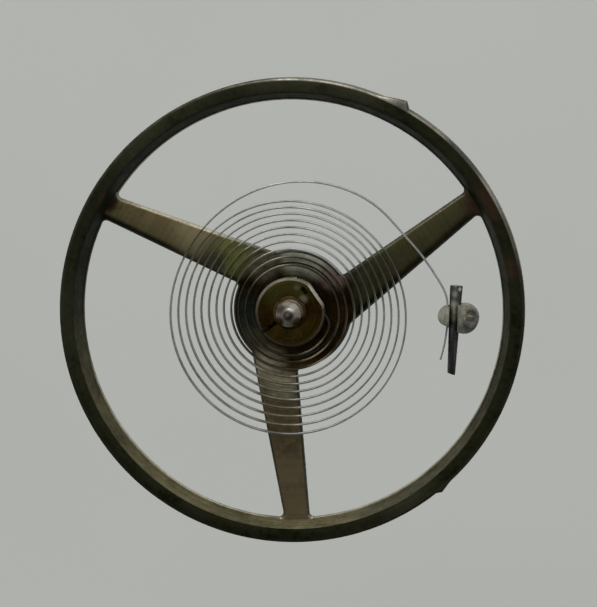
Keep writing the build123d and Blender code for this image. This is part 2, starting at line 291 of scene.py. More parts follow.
def addBump(nodes, links, shader, height, strength, depth):
    bump = nodes.new("ShaderNodeBump")
    bump.inputs["Strength"].default_value = strength
    bump.inputs["Distance"].default_value = depth
    links.new(height, bump.inputs["Height"])
    links.new(bump.outputs[0], shader.inputs["Normal"])


def nearMask(nodes, links, flat, centre, inner, outer):
    # 1 within the inner distance of a place in mm, fading to 0 at the outer one
    away = vectorNode(nodes, links, "DISTANCE", flat, (centre[0] * mm, centre[1] * mm, 0))
    return rangeOf(nodes, links, away, inner * mm, outer * mm, 1.0, 0.0)


def along(nodes, links, vector, angle):
    # How far a place or a direction reaches along an angle
    return vectorNode(nodes, links, "DOT_PRODUCT", vector, (cos(radians(angle)), sin(radians(angle)), 0))


def towardMask(nodes, links, flat, angle, low, high):
    # Rises from 0 to 1 as the direction from the staff nears an angle, between two cosines
    unit = vectorNode(nodes, links, "NORMALIZE", flat)
    return rangeOf(nodes, links, along(nodes, links, unit, angle), low, high)


def beyondMask(nodes, links, flat, across, low, high):
    # Rises from 0 to 1 between two distances from the staff in mm, measured along one direction
    return rangeOf(nodes, links, along(nodes, links, flat, across), low * mm, high * mm)


def metal(name, tones, tone, scale=900.0, contrast=1.0, rough=(0.3, 0.45), linesDark=0.25, lineCount=30000.0,
          linesWithin=None, stretch=None, bump=0.35, depth=2e-6, metallic=1.0, specular=0.5,
          zones=(), strips=(), outward=(), spots=()):
    # Tarnished metal with tool lines, each tone a dark and a light colour. Zones tint towards an angle,
    # strips beyond a line on one side of the staff, outward beyond a radius, spots about a place.
    mat, nodes, links, shader = newMaterial(name)
    shader.inputs["Metallic"].default_value = metallic
    shader.inputs["Specular IOR Level"].default_value = specular
    cloud = addTarnish(nodes, tones[tone], scale, contrast)
    colour = cloud["Color"]
    flat = vectorNode(nodes, links, "MULTIPLY", objectPlace(nodes), (1, 1, 0))

    def tinted(mask, tintTone, inside=True):
        tint = mixColour(nodes, links, cloud["Mask"], *tones[tintTone])
        return mixColour(nodes, links, mask, *((colour, tint) if inside else (tint, colour)))

    for angle, low, high, tintTone in zones:
        colour = tinted(towardMask(nodes, links, flat, angle, low, high), tintTone)
    for angle, across, low, high, tintTone in strips:
        side = towardMask(nodes, links, flat, angle, grain["stripFrom"], grain["stripFull"])
        beyond = beyondMask(nodes, links, flat, across, low, high)
        colour = tinted(mathNode(nodes, links, "MULTIPLY", side, beyond), tintTone)
    for inner, outer, tintTone in outward:
        colour = tinted(nearMask(nodes, links, flat, (0, 0), inner, outer), tintTone, inside=False)
    for centre, inner, outer, tintTone in spots:
        colour = tinted(nearMask(nodes, links, flat, centre, inner, outer), tintTone)
    if stretch:
        fine = useGroup(nodes, drawnLines, Stretch=stretch)["Lines"]
    else:
        fine = useGroup(nodes, turnedLines, Count=lineCount)["Lines"]
    shade = rangeOf(nodes, links, fine, grain["lineFrom"], grain["lineTo"], -linesDark, linesDark / 2)
    if linesWithin:
        strong = nearMask(nodes, links, flat, (0, 0), *linesWithin)
        strength = mathNode(nodes, links, "MULTIPLY_ADD", strong, 1 - grain["quiet"], grain["quiet"])
        shade = mathNode(nodes, links, "MULTIPLY", shade, strength)
    shade = mathNode(nodes, links, "ADD", shade, 1.0)
    links.new(scaled(nodes, links, colour, shade), shader.inputs["Base Color"])
    links.new(rangeOf(nodes, links, cloud["Mask"], 0, 1, rough[1], rough[0]), shader.inputs["Roughness"])
    addBump(nodes, links, shader, fine, bump, depth)
    return mat


def metals(piece, *names):
    # The piece's own metals, in the order of its material slots
    return [metal(name, piece["tones"], **piece.get("common", {}), **piece[name]) for name in names]


print("shader groups")

# Mesh helpers. Pieces are shaped in millimetres and scaled to metres when they are placed.
weld, speck, seam = 1e-5, 1e-6, 1e-4  # closest vertices that stay apart in a shape, a sliver and an outline
onFace = 0.01  # a vertex this close to a wall belongs to it
levelFace = 0.97  # a face whose normal rises more than this is level


def fromStaff(vert):
    return hypot(*vert.co.xy)


def ring(bm, profile, steps=192):
    # Spins a profile of (radius, height) points about the staff
    verts = [bm.verts.new((r, 0, z)) for r, z in profile]
    pairs = list(zip(verts, verts[1:]))
    if profile[0][0] > 0 or profile[-1][0] > 0:
        pairs.append((verts[-1], verts[0]))
    edges = [bm.edges.new(pair) for pair in pairs]
    bmesh.ops.spin(bm, geom=verts + edges, cent=(0, 0, 0), axis=(0, 0, 1), angle=2 * pi, steps=steps,
                   use_merge=True, use_duplicate=False)
    bmesh.ops.remove_doubles(bm, verts=bm.verts, dist=weld)
    bmesh.ops.dissolve_degenerate(bm, dist=speck, edges=bm.edges)
    bmesh.ops.recalc_face_normals(bm, faces=bm.faces)
    return bm


def soften(bm, width, segments=2, sharpest=25, pick=None):
    edges = [e for e in bm.edges if len(e.link_faces) == 2 and e.calc_face_angle(0) > radians(sharpest)]
    if pick:
        edges = [e for e in edges if pick(e)]
    bmesh.ops.bevel(bm, geom=edges, offset=width, offset_type="OFFSET", segments=segments, profile=0.5,
                    affect="EDGES", clamp_overlap=True, material=-1)
    return bm


def asObject(bm, name="work"):
    mesh = bpy.data.meshes.new(name)
    bm.to_mesh(mesh)
    bm.free()
    obj = bpy.data.objects.new(name, mesh)
    scene.collection.objects.link(obj)
    return obj


def combine(bm, cutters, operation="DIFFERENCE"):
    # Cuts or joins the given shapes and returns a fresh bmesh
    work = asObject(bm)
    tools = [asObject(cutter, "tool") for cutter in cutters]
    for tool in tools:
        step = work.modifiers.new("step", "BOOLEAN")
        step.operation, step.solver, step.object = operation, "EXACT", tool
    bpy.context.view_layer.update()
    result = bmesh.new()
    result.from_mesh(work.evaluated_get(bpy.context.evaluated_depsgraph_get()).data)
    for obj in (work, *tools):
        mesh = obj.data
        bpy.data.objects.remove(obj)
        bpy.data.meshes.remove(mesh)
    bmesh.ops.remove_doubles(result, verts=result.verts, dist=weld)
    bmesh.ops.dissolve_degenerate(result, dist=weld, edges=result.edges)
    return result


def onCircle(angle, radius):
    return (radius * cos(radians(angle)), radius * sin(radians(angle)))


def moved(point, angle, length):
    return (point[0] + length * cos(radians(angle)), point[1] + length * sin(radians(angle)))


def midway(a, b):
    return ((a[0] + b[0]) / 2, (a[1] + b[1]) / 2)


def between(a, b):
    return (b[0] - a[0], b[1] - a[1])


def headingOf(start, end):
    return degrees(atan2(end[1] - start[1], end[0] - start[0]))


def turned(angle, axis="Z"):
    return Matrix.Rotation(radians(angle), 4, axis)


def seated(bm, matrix):
    bmesh.ops.transform(bm, matrix=matrix, verts=bm.verts)
    return bm


def trace(bm, geom, centre, turn, stepAngle=3.0):
    # Carries a point or a section on, by a turn about a centre, or by a straight run where turn is None
    if turn is None:
        return bmesh.ops.spin(bm, geom=geom, cent=(0, 0, 0), axis=(0, 0, 1), dvec=(*centre, 0), angle=0,
                              steps=1, use_duplicate=False)["geom_last"]
    return bmesh.ops.spin(bm, geom=geom, cent=(*centre, 0), axis=(0, 0, 1), angle=radians(turn),
                          steps=max(1, ceil(abs(turn) / stepAngle)), use_duplicate=False)["geom_last"]


def outline(bm, start, moves, stepAngle=3.0):
    geom = [bm.verts.new((*start, 0))]
    for centre, turn in moves:
        geom = trace(bm, geom, centre, turn, stepAngle)
    bmesh.ops.remove_doubles(bm, verts=bm.verts, dist=seam)
    return bm


def slab(bm, low, high):
    # Fills flat outlines and gives them their height
    bmesh.ops.triangle_fill(bm, use_beauty=True, use_dissolve=False, edges=bm.edges)
    grown = bmesh.ops.extrude_face_region(bm, geom=bm.faces[:])
    top = [v for v in grown["geom"] if isinstance(v, bmesh.types.BMVert)]
    bmesh.ops.translate(bm, vec=(0, 0, high - low), verts=top)
    bmesh.ops.translate(bm, vec=(0, 0, low), verts=bm.verts)
    bmesh.ops.recalc_face_normals(bm, faces=bm.faces)
    return bm


def column(radius, low, high, at=(0, 0), steps=96):
    bm = bmesh.new()
    matrix = Matrix.Translation((at[0], at[1], (low + high) / 2))
    bmesh.ops.create_cone(bm, cap_ends=True, segments=steps, radius1=radius, radius2=radius, depth=high - low,
                          matrix=matrix)
    return bm


def block(low, high, turn=0.0):
    bm = bmesh.new()
    size = Vector(high) - Vector(low)
    matrix = turned(turn) @ Matrix.Translation((Vector(low) + Vector(high)) / 2)
    bmesh.ops.create_cube(bm, size=1.0, matrix=matrix @ Matrix.Diagonal((*size, 1)))
    return bm


def rod(large, small, length, start, turn, steps=48):
    # A round rod along -Y from its start, its -X side straight, then turned about the staff
    lean = atan2(large - small, length)
    bm = bmesh.new()
    matrix = (turned(turn) @ Matrix.Translation(start) @ Matrix.Rotation(-lean, 4, "Z")
              @ Matrix.Rotation(pi / 2, 4, "X") @ Matrix.Translation((0, 0, length / 2)))
    bmesh.ops.create_cone(bm, cap_ends=True, segments=steps, radius1=large, radius2=small, depth=length,
                          matrix=matrix)
    return bm


def place(bm, name, node, materials, body="balance", sharpest=35):
    bmesh.ops.scale(bm, vec=(mm, mm, mm), verts=bm.verts)
    obj = asObject(bm, name)
    for mat in materials:
        obj.data.materials.append(mat)
    for face in obj.data.polygons:
        face.use_smooth = True
    obj.data.set_sharp_from_angle(angle=radians(sharpest))
    if body:
        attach(obj, body)
    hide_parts(node)
    print(name, len(obj.data.polygons), "faces")
    return obj


# Balance wheel: rim with its inner slope, three pinwheel arms, hub and boss
wheel = {
    "radius": 5.0, "low": 1.18, "rimHigh": 1.76, "rimTop": 0.31, "slope": 0.17, "rimEdge": 0.022,
    "rimShoulder": 0.055, "armAngle": 34.7, "armCount": 3, "armHigh": 1.33, "armRim": 0.54, "armRoot": 1.05,
    "armOverlap": 0.085, "corner": 0.1, "armEdge": 0.1, "litEdgeFrom": 100.0, "litEdgeTo": 150.0,
    "litEdgeBeyond": 2.15, "hub": 1.28, "boss": 1.03, "bossHigh": 1.39, "bossEdge": 0.03, "bore": 0.454,
    "burrs": [(68.0, 60.4, 0.17), (-47.0, -50.0, 0.06)], "burrDeep": 0.15, "burrReach": 0.05,
    "rimFrom": 0.03, "windowIn": 0.1, "windowOut": 0.02, "rimSteps": 288, "bossSteps": 192, "boreSteps": 120,
    "tones": {
        "rim": ((0.01, 0.012, 0.005), (0.046, 0.046, 0.025)),
        "rimMid": ((0.017, 0.019, 0.009), (0.064, 0.064, 0.037)),
        "rimLight": ((0.024, 0.026, 0.013), (0.08, 0.08, 0.048)),
        "leftArm": ((0.105, 0.088, 0.04), (0.21, 0.175, 0.092)),
        "rightArm": ((0.05, 0.047, 0.02), (0.115, 0.105, 0.05)),
        "lowArm": ((0.13, 0.1, 0.055), (0.24, 0.19, 0.105)),
        "armShade": ((0.01, 0.01, 0.005), (0.036, 0.036, 0.02)),
        "tan": ((0.19, 0.163, 0.087), (0.315, 0.27, 0.155)),
        "brown": ((0.066, 0.057, 0.04), (0.132, 0.117, 0.09)),
        "hub": ((0.022, 0.01, 0.002), (0.06, 0.038, 0.012)),
        "khaki": ((0.5, 0.51, 0.37), (0.85, 0.85, 0.67)),
        "hubBrown": ((0.17, 0.15, 0.1), (0.34, 0.31, 0.22)),
        "green": ((0.175, 0.19, 0.05), (0.4, 0.41, 0.125)),
        "rust": ((0.028, 0.018, 0.009), (0.085, 0.056, 0.034)),
        "teal": ((0.022, 0.027, 0.02), (0.068, 0.082, 0.062)),
        "dusk": ((0.07, 0.071, 0.042), (0.175, 0.175, 0.11)),
        "pink": ((0.23, 0.155, 0.135), (0.58, 0.41, 0.36)),
        "pale": ((0.27, 0.235, 0.14), (0.6, 0.54, 0.36)),
        "wall": ((0.02, 0.02, 0.013), (0.07, 0.066, 0.045)),
        # painted sheen for the outer wall
        "wallSheen": ((0.14, 0.13, 0.1), (0.28, 0.26, 0.22)),
        "wallShade": ((0.046, 0.043, 0.03), (0.095, 0.09, 0.068)),
        "burrShade": ((0.055, 0.054, 0.045), (0.115, 0.11, 0.09)),
        "slope": ((0.036, 0.0325, 0.0165), (0.096, 0.086, 0.044)),
        "slopeShade": ((0.0105, 0.011, 0.0065), (0.029, 0.03, 0.019)),
        # partial painted shade for the inner slope
        "slopeHalfShade": ((0.024, 0.022, 0.0125), (0.06, 0.055, 0.032)),
        "edge": ((0.17, 0.15, 0.1), (0.42, 0.38, 0.29)),
        # painted shade for bevels
        "paintedEdgeShade": ((0.022, 0.021, 0.012), (0.075, 0.07, 0.045)),
        # painted shade for bevels close to the hub
        "hubEdgeShade": ((0.025, 0.026, 0.016), (0.075, 0.075, 0.05)),
        "litEdge": ((0.24, 0.215, 0.165), (0.36, 0.33, 0.26)),
    },
    "wheelTop": {
        "tone": "hub", "scale": 1100.0, "contrast": 1.4, "rough": (0.3, 0.5), "linesDark": 0.34,
        "lineCount": 16000.0, "linesWithin": (1.5, 2.8),
        "zones": [(154.7, 0.6, 0.75, "leftArm"), (34.7, 0.6, 0.75, "rightArm"), (274.7, 0.6, 0.75, "lowArm")],
        "strips": [(154.7, 244.7, -0.18, -0.08, "armShade"), (34.7, -49, 0.82, 0.95, "armShade")],
        "outward": [(4.55, 4.6, "rim")],
        "spots": [
            (onCircle(125, 4.85), 0.4, 1.9, "rimLight"), (onCircle(83, 4.85), 0.9, 2.3, "rimLight"),
            (onCircle(302, 4.85), 0.2, 0.9, "rimLight"), (onCircle(185, 4.85), 0.3, 1.6, "rimMid"),
            ((0, 0), 1.2, 1.5, "hub"), ((-1.3, 1.2), 0.2, 0.65, "green"), ((-1.78, 0.98), 0.15, 0.5, "brown"),
            ((-3.98, 2.3), 0.12, 0.26, "rust"), ((4.09, 2.28), 0.2, 0.6, "rust"),
            ((4.6, 0.93), 0.1, 0.35, "rust"), ((-1.03, -0.14), 0.3, 0.75, "teal"),
            ((0.87, 0.8), 0.12, 0.48, "pink"),
            ((-0.83, -0.66), 0.1, 0.4, "dusk"), ((-0.5, -1.12), 0.1, 0.5, "pale"),
            ((-0.25, -1.65), 0.1, 0.45, "pale"), ((-2.06, 1.68), 0.2, 0.75, "tan"),
            ((0.05, 1.12), 0.15, 0.5, "khaki"), ((0.42, 1.0), 0.1, 0.45, "khaki"),
            ((-0.62, 0.98), 0.15, 0.5, "hubBrown"),
        ],
    },
    "wheelWall": {
        "tone": "wall", "scale": 1500.0, "contrast": 1.2, "rough": (0.5, 0.65), "linesDark": 0.3,
        # The outer wall gets a painted sheen towards the upper right
        "lineCount": 40000.0, "zones": [(57, 0.66, 0.9, "wallSheen")],
        "spots": [(onCircle(42, 5.0), 0.35, 0.75, "wallShade"), (onCircle(61.5, 5.1), 0.1, 0.4, "burrShade")],
    },
    "wheelEdge": {
        "tone": "edge", "scale": 2600.0, "contrast": 1.3, "rough": (0.35, 0.5), "linesDark": 0.3,
        # The right arm's bevels, the left arm's lower bevel and the low arm's bevels get painted shade
        "lineCount": 25000.0, "metallic": 0.5, "zones": [(32, 0.7, 0.9, "paintedEdgeShade")],
        "strips": [(154.7, 244.7, -0.12, -0.08, "paintedEdgeShade")],
        # the bevels around the hub get painted shade too
        "spots": [(onCircle(269, 3.1), 1.4, 1.55, "paintedEdgeShade"), ((0, 0), 1.8, 2.2, "hubEdgeShade")],
    },
    "wheelSlope": {
        "tone": "slope", "scale": 1300.0, "contrast": 1.3, "rough": (0.5, 0.62), "linesDark": 0.3,
        "lineCount": 26000.0, "metallic": 0.1, "specular": 0.06,
        # The inner slope gets painted shade on its top side, facing away from the lamp, and partial painted
        # shade on the lower right
        "zones": [(315, 0.8, 0.97, "slopeHalfShade"), (87, -0.5, 0.05, "slopeShade")],
    },
    "wheelLitEdge": {
        "tone": "litEdge", "scale": 2600.0, "contrast": 1.1, "rough": (0.45, 0.6), "linesDark": 0.25,
        "lineCount": 25000.0, "metallic": 0.15, "specular": 0.3,
    },
}


def windowMoves(w, first):
    # One opening between two arms, drawn anticlockwise from the hub end of the first arm's radial side
    fillet, inside = w["corner"], w["radius"] - w["rimTop"] - w["slope"]
    reach = inside + w["armOverlap"]
    hubCorner = onCircle(first + degrees(asin(fillet / (w["hub"] + fillet))), w["hub"] + fillet)
    rimCorner = onCircle(first + degrees(asin(fillet / (inside - fillet))), inside - fillet)
    nextArm = first + 360 / w["armCount"]
    side = nextArm + headingOf((0, -w["armRoot"]), (reach, -w["armRim"]))
    offset = w["armRoot"] * cos(radians(side - nextArm)) + fillet

    def besideNext(radius):
        return moved(onCircle(side, sqrt(radius ** 2 - offset ** 2)), side - 90, offset)

    rimCornerNext, hubCornerNext = besideNext(inside - fillet), besideNext(w["hub"] + fillet)
    a, b, c, d = (headingOf((0, 0), p) for p in (hubCorner, rimCorner, rimCornerNext, hubCornerNext))
    return moved(hubCorner, first - 90, fillet), [
        (between(hubCorner, rimCorner), None), (rimCorner, (b - first + 90) % 360), ((0, 0), (c - b) % 360),
        (rimCornerNext, (side + 90 - c) % 360), (between(rimCornerNext, hubCornerNext), None),
        (hubCornerNext, (d + 90 - side) % 360), ((0, 0), -((d - a) % 360)),
        (hubCorner, (first + 90 - a) % 360),
    ]


def raiseBurrs(rim, w):
    # Slivers of metal raised on the rim, each thin at its start and widest at its tip
    high, wide = w["rimHigh"] - w["burrDeep"], w["radius"] - w["burrReach"]
    for start, tip, height in w["burrs"]:
        for vert in rim.verts:
            share = (headingOf((0, 0), vert.co.xy) - start) / (tip - start)
            if 0 < share < 1 and vert.co.z > high and fromStaff(vert) > wide:
                vert.co.xy *= 1 + height * share / w["radius"]


def makeWheel(w):
    inside = w["radius"] - w["rimTop"] - w["slope"]
    rim = ring(bmesh.new(), [(inside, w["low"]), (w["radius"], w["low"]), (w["radius"], w["rimHigh"]),
                             (w["radius"] - w["rimTop"], w["rimHigh"])], steps=w["rimSteps"])
    soften(rim, w["rimShoulder"], segments=4, pick=lambda e: all(
        v.co.z > w["rimHigh"] - seam and fromStaff(v) > w["radius"] - onFace for v in e.verts))
    soften(rim, w["rimEdge"], segments=3, sharpest=40)
    raiseBurrs(rim, w)
    plate = bmesh.new()
    bmesh.ops.create_circle(plate, segments=w["rimSteps"], radius=inside + w["armOverlap"])
    bmesh.ops.create_circle(plate, segments=w["boreSteps"], radius=w["bore"])
    for i in range(w["armCount"]):
        outline(plate, *windowMoves(w, w["armAngle"] + i * 360 / w["armCount"]))
    slab(plate, w["low"], w["armHigh"])
    middle = (w["low"] + w["armHigh"]) / 2

    def aroundWindow(edge):
        return all(w["bore"] + w["windowIn"] < fromStaff(v) < inside + w["windowOut"] for v in edge.verts)

    soften(plate, w["armEdge"], segments=4,
           pick=lambda e: aroundWindow(e) and min(v.co.z for v in e.verts) > middle)
    soften(plate, w["armEdge"] / 4, segments=2, sharpest=60,
           pick=lambda e: aroundWindow(e) and max(v.co.z for v in e.verts) < w["low"] + seam)
    boss = ring(bmesh.new(), [(w["bore"], w["low"]), (w["boss"], w["low"]), (w["boss"], w["bossHigh"]),
                              (w["bore"], w["bossHigh"])], steps=w["bossSteps"])
    soften(boss, w["bossEdge"], segments=3,
           pick=lambda e: e.verts[0].co.z > w["armHigh"] and fromStaff(e.verts[0]) > w["bore"] + onFace)
    whole = combine(plate, [rim, boss], "UNION")
    names = ["wheelTop", "wheelWall", "wheelEdge", "wheelSlope", "wheelLitEdge"]
    for face in whole.faces:
        tilt, centre = abs(face.normal.z), face.calc_center_median().xy
        away, heading = hypot(*centre), headingOf((0, 0), centre)
        if tilt > levelFace and away < w["radius"] - w["rimShoulder"]:
            finish = "wheelTop"
        elif away > inside + w["rimFrom"]:
            finish = "wheelSlope" if away < w["radius"] - w["rimTop"] + onFace else "wheelWall"
        elif w["litEdgeFrom"] < heading < w["litEdgeTo"] and away > w["litEdgeBeyond"]:
            finish = "wheelLitEdge"
        else:
            finish = "wheelEdge"
        face.material_index = names.index(finish)
    place(whole, "balanceWheel", "balance_wheel", metals(w, *names))


makeWheel(wheel)

# Staff: both pivots with their cones, roller seat, flange, wheel seat with its rivet, collet seat
staff = {
    "pivot": 0.05, "pivotRound": 0.02, "cone": 0.16, "rollerSeat": 0.24, "flange": 0.57, "wheelSeat": 0.45,
    "rivet": 0.51, "colletSeat": 0.36, "arbor": 0.27, "edge": 0.012, "coneSteps": 8, "steps": 96,
    "levels": {"pivot": 0.26, "cone": 0.4, "flange": 1.05, "wheel": 1.18, "boss": 1.39, "rivet": 1.43,
               "seat": 2.09, "arbor": 2.49, "topCone": 2.63, "tip": 2.89},
    "tones": {
        "steel": ((0.125, 0.118, 0.102), (0.25, 0.235, 0.205)),
        "seat": ((0.02, 0.01, 0.003), (0.08, 0.052, 0.02)),
        "tip": ((0.06, 0.055, 0.045), (0.12, 0.11, 0.09)), "paintedHighlight": ((0.3, 0.29, 0.25), (0.5, 0.48, 0.42)),
        "arbor": ((0.12, 0.1, 0.08), (0.36, 0.32, 0.27)),
    },
    "staffSteel": {
        "tone": "steel", "scale": 3500.0, "contrast": 1.2, "rough": (0.55, 0.7), "linesDark": 0.2,
        "lineCount": 60000.0, "outward": [(0.16, 0.18, "arbor"), (0.27, 0.29, "seat")],
        # a painted highlight lies on the lamp side of the top cone
        "spots": [((0, 0), 0.07, 0.13, "tip"), ((0.085, 0.15), 0.03, 0.13, "paintedHighlight"),
                  ((-0.16, 0.13), 0.04, 0.15, "tip"), ((0.2, -0.17), 0.07, 0.16, "seat"),
                  ((-0.21, -0.17), 0.07, 0.16, "seat")],
    },
}


def coneCurve(s, low, high):
    # The hollow cone from the arbor into its pivot, a quarter turn of an arc
    flare, rise, steps = s["cone"] - s["pivot"], high - low, s["coneSteps"]
    angles = [pi / 2 * i / steps for i in range(steps + 1)]
    return [(s["cone"] - flare * sin(angle), low + rise * (1 - cos(angle))) for angle in angles]


def makeStaff(s):
    at = s["levels"]
    profile = [(0, 0), (s["pivot"] - s["pivotRound"], 0), (s["pivot"], s["pivotRound"])]
    profile += [(r, at["cone"] + at["pivot"] - z) for r, z in reversed(coneCurve(s, at["pivot"], at["cone"]))]
    profile += [
        (s["rollerSeat"], at["cone"]), (s["rollerSeat"], at["flange"]), (s["flange"], at["flange"]),
        (s["flange"], at["wheel"]), (s["wheelSeat"], at["wheel"]), (s["wheelSeat"], at["boss"]),
        (s["rivet"], at["boss"]), (s["wheelSeat"], at["rivet"]), (s["colletSeat"], at["rivet"]),
        (s["colletSeat"], at["seat"]), (s["arbor"], at["seat"]), (s["arbor"], at["arbor"]),
    ]
    profile += coneCurve(s, at["arbor"], at["topCone"])
    profile += [(s["pivot"], at["tip"] - s["pivotRound"]), (s["pivot"] - s["pivotRound"], at["tip"])]
    profile.append((0, at["tip"]))
    bm = ring(bmesh.new(), profile, steps=s["steps"])
    soften(bm, s["edge"], sharpest=40, pick=lambda e: fromStaff(e.verts[0]) > s["cone"] - onFace)
    place(bm, "balanceStaff", "balance_staff", metals(s, "staffSteel"))


makeStaff(staff)

# Rollers, jewel and shellac, on the far side of the staff from the stud
rollers = {
    "bore": 0.244, "pipe": 0.36, "pipeLow": 0.8, "disc": 1.05, "discLow": 0.89, "discHigh": 1.05,
    "safety": 0.52, "safetyLow": 0.58, "safetyHigh": 0.8, "hollow": 0.2, "hollowPlace": 0.59, "over": 0.1,
    "jewel": 0.14, "jewelFlat": 0.05, "jewelPlace": 0.82, "jewelLow": 0.47, "fit": 0.004, "edge": 0.018,
    "jewelEdge": 0.014, "shellac": 0.16, "shellacHigh": 1.11, "smallSteps": 72,
    "beadShares": [(0.97, 0.035), (0.86, 0.016), (0.6, 0.005)],
    "tones": {
        "steel": ((0.42, 0.42, 0.42), (0.68, 0.68, 0.69)), "ruby": ((0.5, 0.008, 0.05), (0.75, 0.03, 0.1)),
        "shellac": ((0.09, 0.025, 0.006), (0.26, 0.1, 0.025)),
    },
    "rollerSteel": {
        "tone": "steel", "scale": 2200.0, "contrast": 1.1, "rough": (0.14, 0.28), "linesDark": 0.18,
        "lineCount": 45000.0,
    },
    "rubyCloud": (2500.0, 0.6), "rubyRough": (0.03, 0.08), "rubyClear": 0.8, "rubyBend": 1.76,
    "shellacCloud": (3000.0, 1.2), "shellacRough": (0.12, 0.3), "shellacCoat": 0.6,
    "shellacBump": (0.4, 6e-6),
}


def jewelBody(r, grow, low, high):
    bm = column(r["jewel"] + grow, low, high, (-r["jewelPlace"], 0), steps=r["smallSteps"])
    flat = -r["jewelPlace"] - r["jewelFlat"] - grow
    cut = bmesh.ops.bisect_plane(bm, geom=bm.verts[:] + bm.edges[:] + bm.faces[:], dist=weld,
                                 plane_co=(flat, 0, 0), plane_no=(-1, 0, 0), clear_outer=True)
    bmesh.ops.edgeloop_fill(bm, edges=[e for e in cut["geom_cut"] if isinstance(e, bmesh.types.BMEdge)])
    bmesh.ops.recalc_face_normals(bm, faces=bm.faces)
    return bm


def cloudyMaterial(name, tone, cloudy, rough, bump=None):
    mat, nodes, links, shader = newMaterial(name)
    cloud = addTarnish(nodes, tone, *cloudy)
    links.new(cloud["Color"], shader.inputs["Base Color"])
    links.new(rangeOf(nodes, links, cloud["Mask"], 0, 1, *rough), shader.inputs["Roughness"])
    if bump:
        addBump(nodes, links, shader, cloud["Mask"], *bump)
    return mat, shader


def makeRuby(r):
    mat, shader = cloudyMaterial("ruby", r["tones"]["ruby"], r["rubyCloud"], r["rubyRough"])
    shader.inputs["Metallic"].default_value = 0.0
    shader.inputs["Transmission Weight"].default_value = r["rubyClear"]
    shader.inputs["IOR"].default_value = r["rubyBend"]
    return mat


def makeShellac(r):
    mat, shader = cloudyMaterial("shellac", r["tones"]["shellac"], r["shellacCloud"], r["shellacRough"],
                                 r["shellacBump"])
    shader.inputs["Coat Weight"].default_value = r["shellacCoat"]
    return mat


def makeRollers(r):
    steel = metals(r, "rollerSteel")
    disc = ring(bmesh.new(), [
        (r["bore"], r["pipeLow"]), (r["pipe"], r["pipeLow"]), (r["pipe"], r["discLow"]),
        (r["disc"], r["discLow"]), (r["disc"], r["discHigh"]), (r["bore"], r["discHigh"])])
    soften(disc, r["edge"], sharpest=60, pick=lambda e: fromStaff(e.verts[0]) > r["disc"] - onFace)
    disc = combine(disc, [jewelBody(r, r["fit"], r["discLow"] - r["over"], r["discHigh"] + r["over"])])
    place(disc, "impulseRoller", "impulse_roller", steel)
    small = ring(bmesh.new(), [(r["bore"], r["safetyLow"]), (r["safety"], r["safetyLow"]),
                               (r["safety"], r["safetyHigh"]), (r["bore"], r["safetyHigh"])])
    hollow = column(r["hollow"], r["safetyLow"] - r["over"], r["safetyHigh"] + r["over"],
                    (-r["hollowPlace"], 0))
    small = combine(small, [hollow])
    soften(small, r["edge"] / 2, sharpest=50, pick=lambda e: fromStaff(e.verts[0]) > r["bore"] + onFace)
    place(small, "safetyRoller", "safety_roller", steel)
    jewel = soften(jewelBody(r, 0, r["jewelLow"], r["discHigh"]), r["jewelEdge"], segments=3, sharpest=50)
    place(jewel, "impulseJewel", "impulse_jewel", [makeRuby(r)])
    shoulder = [(r["shellac"] * share, r["shellacHigh"] - drop) for share, drop in r["beadShares"]]
    bead = ring(bmesh.new(), [(0, r["discHigh"]), (r["shellac"], r["discHigh"]), *shoulder,
                              (0, r["shellacHigh"])], steps=r["smallSteps"])
    bmesh.ops.translate(bead, vec=(-r["jewelPlace"], 0, 0), verts=bead.verts)
    place(bead, "jewelShellac", "jewel_shellac", [makeShellac(r)], sharpest=60)


makeRollers(rollers)

